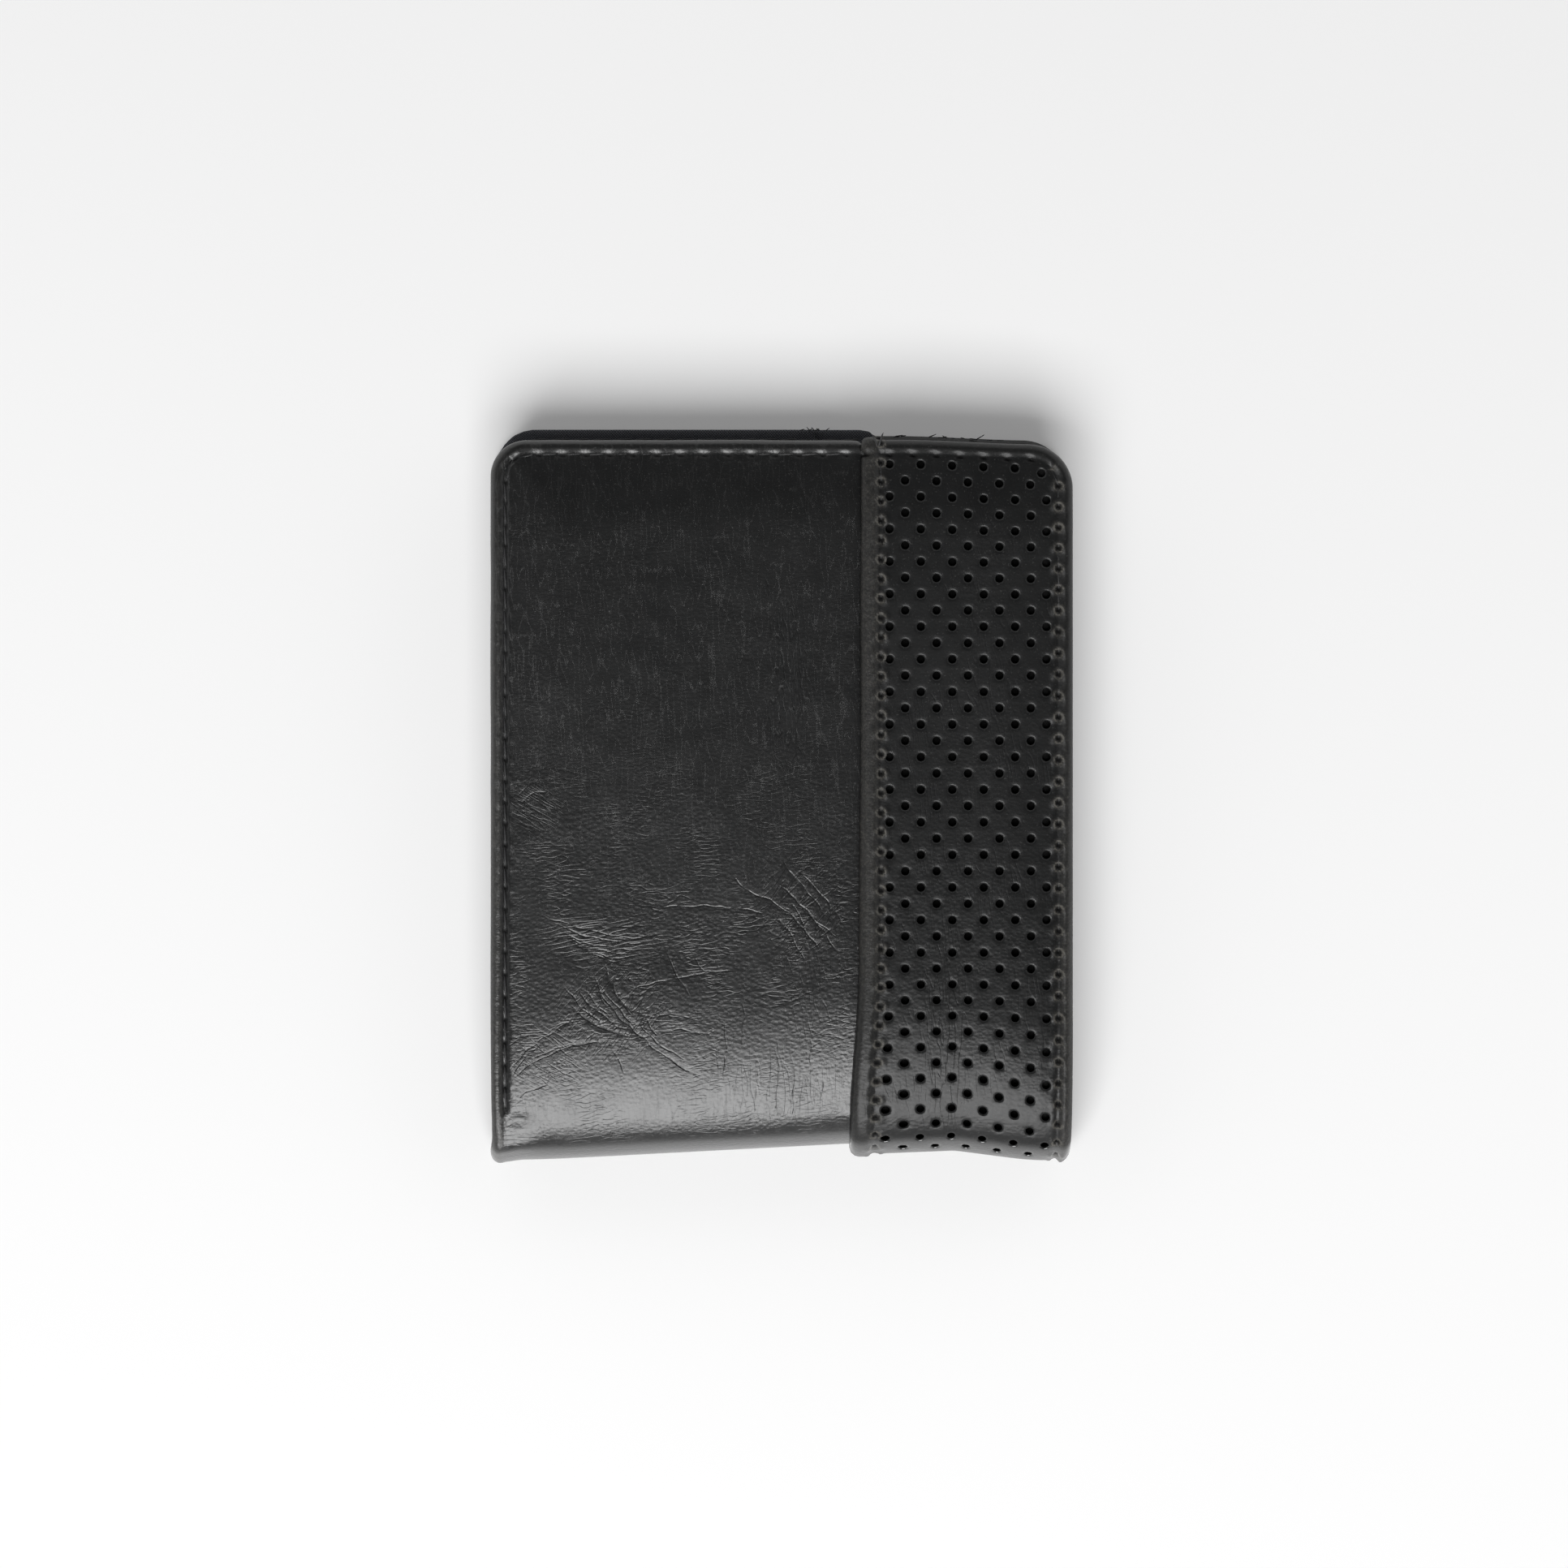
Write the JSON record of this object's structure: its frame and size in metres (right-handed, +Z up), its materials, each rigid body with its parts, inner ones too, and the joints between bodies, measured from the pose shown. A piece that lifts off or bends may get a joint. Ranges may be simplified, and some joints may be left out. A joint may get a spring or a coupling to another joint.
{
  "type": "bifold wallet",
  "caption": "Closed bifold wallet in black leather with a perforated band, lined note pocket, card pockets and a centre ID flap; folds open at two lines.",
  "frame": {"origin": "centre of the closed wallet's bounding box, on the surface that its back half lies on", "axes": "-Y points to the fold, +X from the wallet's bottom edge to its note opening, +Z up through the closed wallet"},
  "size_m": [0.09, 0.1134, 0.0151],
  "materials": {
    "leather": "glossy black coated leather with a fine grain, creased, edges worn brown",
    "band_leather": "glossy black coated leather, perforated, edges worn",
    "nylon": "plain woven nylon, dark navy black, slight sheen",
    "thread": "twisted dark polyester thread",
    "board": "bare grey-brown fibre board",
    "clear_window": "clear soft vinyl sheet"
  },
  "bodies": {
    "back_half": {"main_panel_back": "leather", "perforated_band_back": "band_leather", "outer_lining_back": "nylon", "note_divider_back": "nylon", "divider_binding_back": "leather", "stiffener_back": "board", "inner_panel_back": "leather", "card_pocket_back_1": "leather", "card_pocket_back_2": "leather", "card_pocket_back_3": "leather", "edge_stitching_back": "thread", "band_stitching_back": "thread", "pocket_stitching_back": "thread", "hinge_anchor_strip": "nylon"},
    "spine": {"main_panel_spine": "leather", "perforated_band_spine": "band_leather", "outer_lining_spine": "nylon", "note_divider_spine": "nylon", "divider_binding_spine": "leather", "spine_stitching": "thread"},
    "front_half": {"main_panel_front": "leather", "perforated_band_front": "band_leather", "outer_lining_front": "nylon", "note_divider_front": "nylon", "divider_binding_front": "leather", "stiffener_front": "board", "inner_panel_front": "leather", "card_pocket_front_1": "leather", "card_pocket_front_2": "leather", "card_pocket_front_3": "leather", "edge_stitching_front": "thread", "band_stitching_front": "thread", "pocket_stitching_front": "thread"},
    "id_flap": {"flap_frame": "leather", "flap_window": "clear_window", "flap_backing": "nylon", "flap_slip_pocket": "nylon", "flap_hinge_strip": "nylon", "flap_stitching": "thread"}
  },
  "joints": [
    {"name": "fold_back", "type": "hinge", "parent": "back_half", "child": "spine", "pos_m": [0, -0.0556, 0.0011], "axis": [1, 0, 0], "range_deg": [0, 90]},
    {"name": "fold_front", "type": "hinge", "parent": "spine", "child": "front_half", "pos_m": [0, -0.0546, 0.013], "axis": [1, 0, 0], "range_deg": [0, 90]},
    {"name": "flap_turn", "type": "hinge", "parent": "back_half", "child": "id_flap", "pos_m": [0, -0.0479, 0.0051], "axis": [1, 0, 0], "range_deg": [0, 90]}
  ],
  "couplings": [
    {"joint": "fold_front", "follows": "fold_back", "ratio": 1},
    {"joint": "flap_turn", "follows": "fold_back", "ratio": 1}
  ]
}
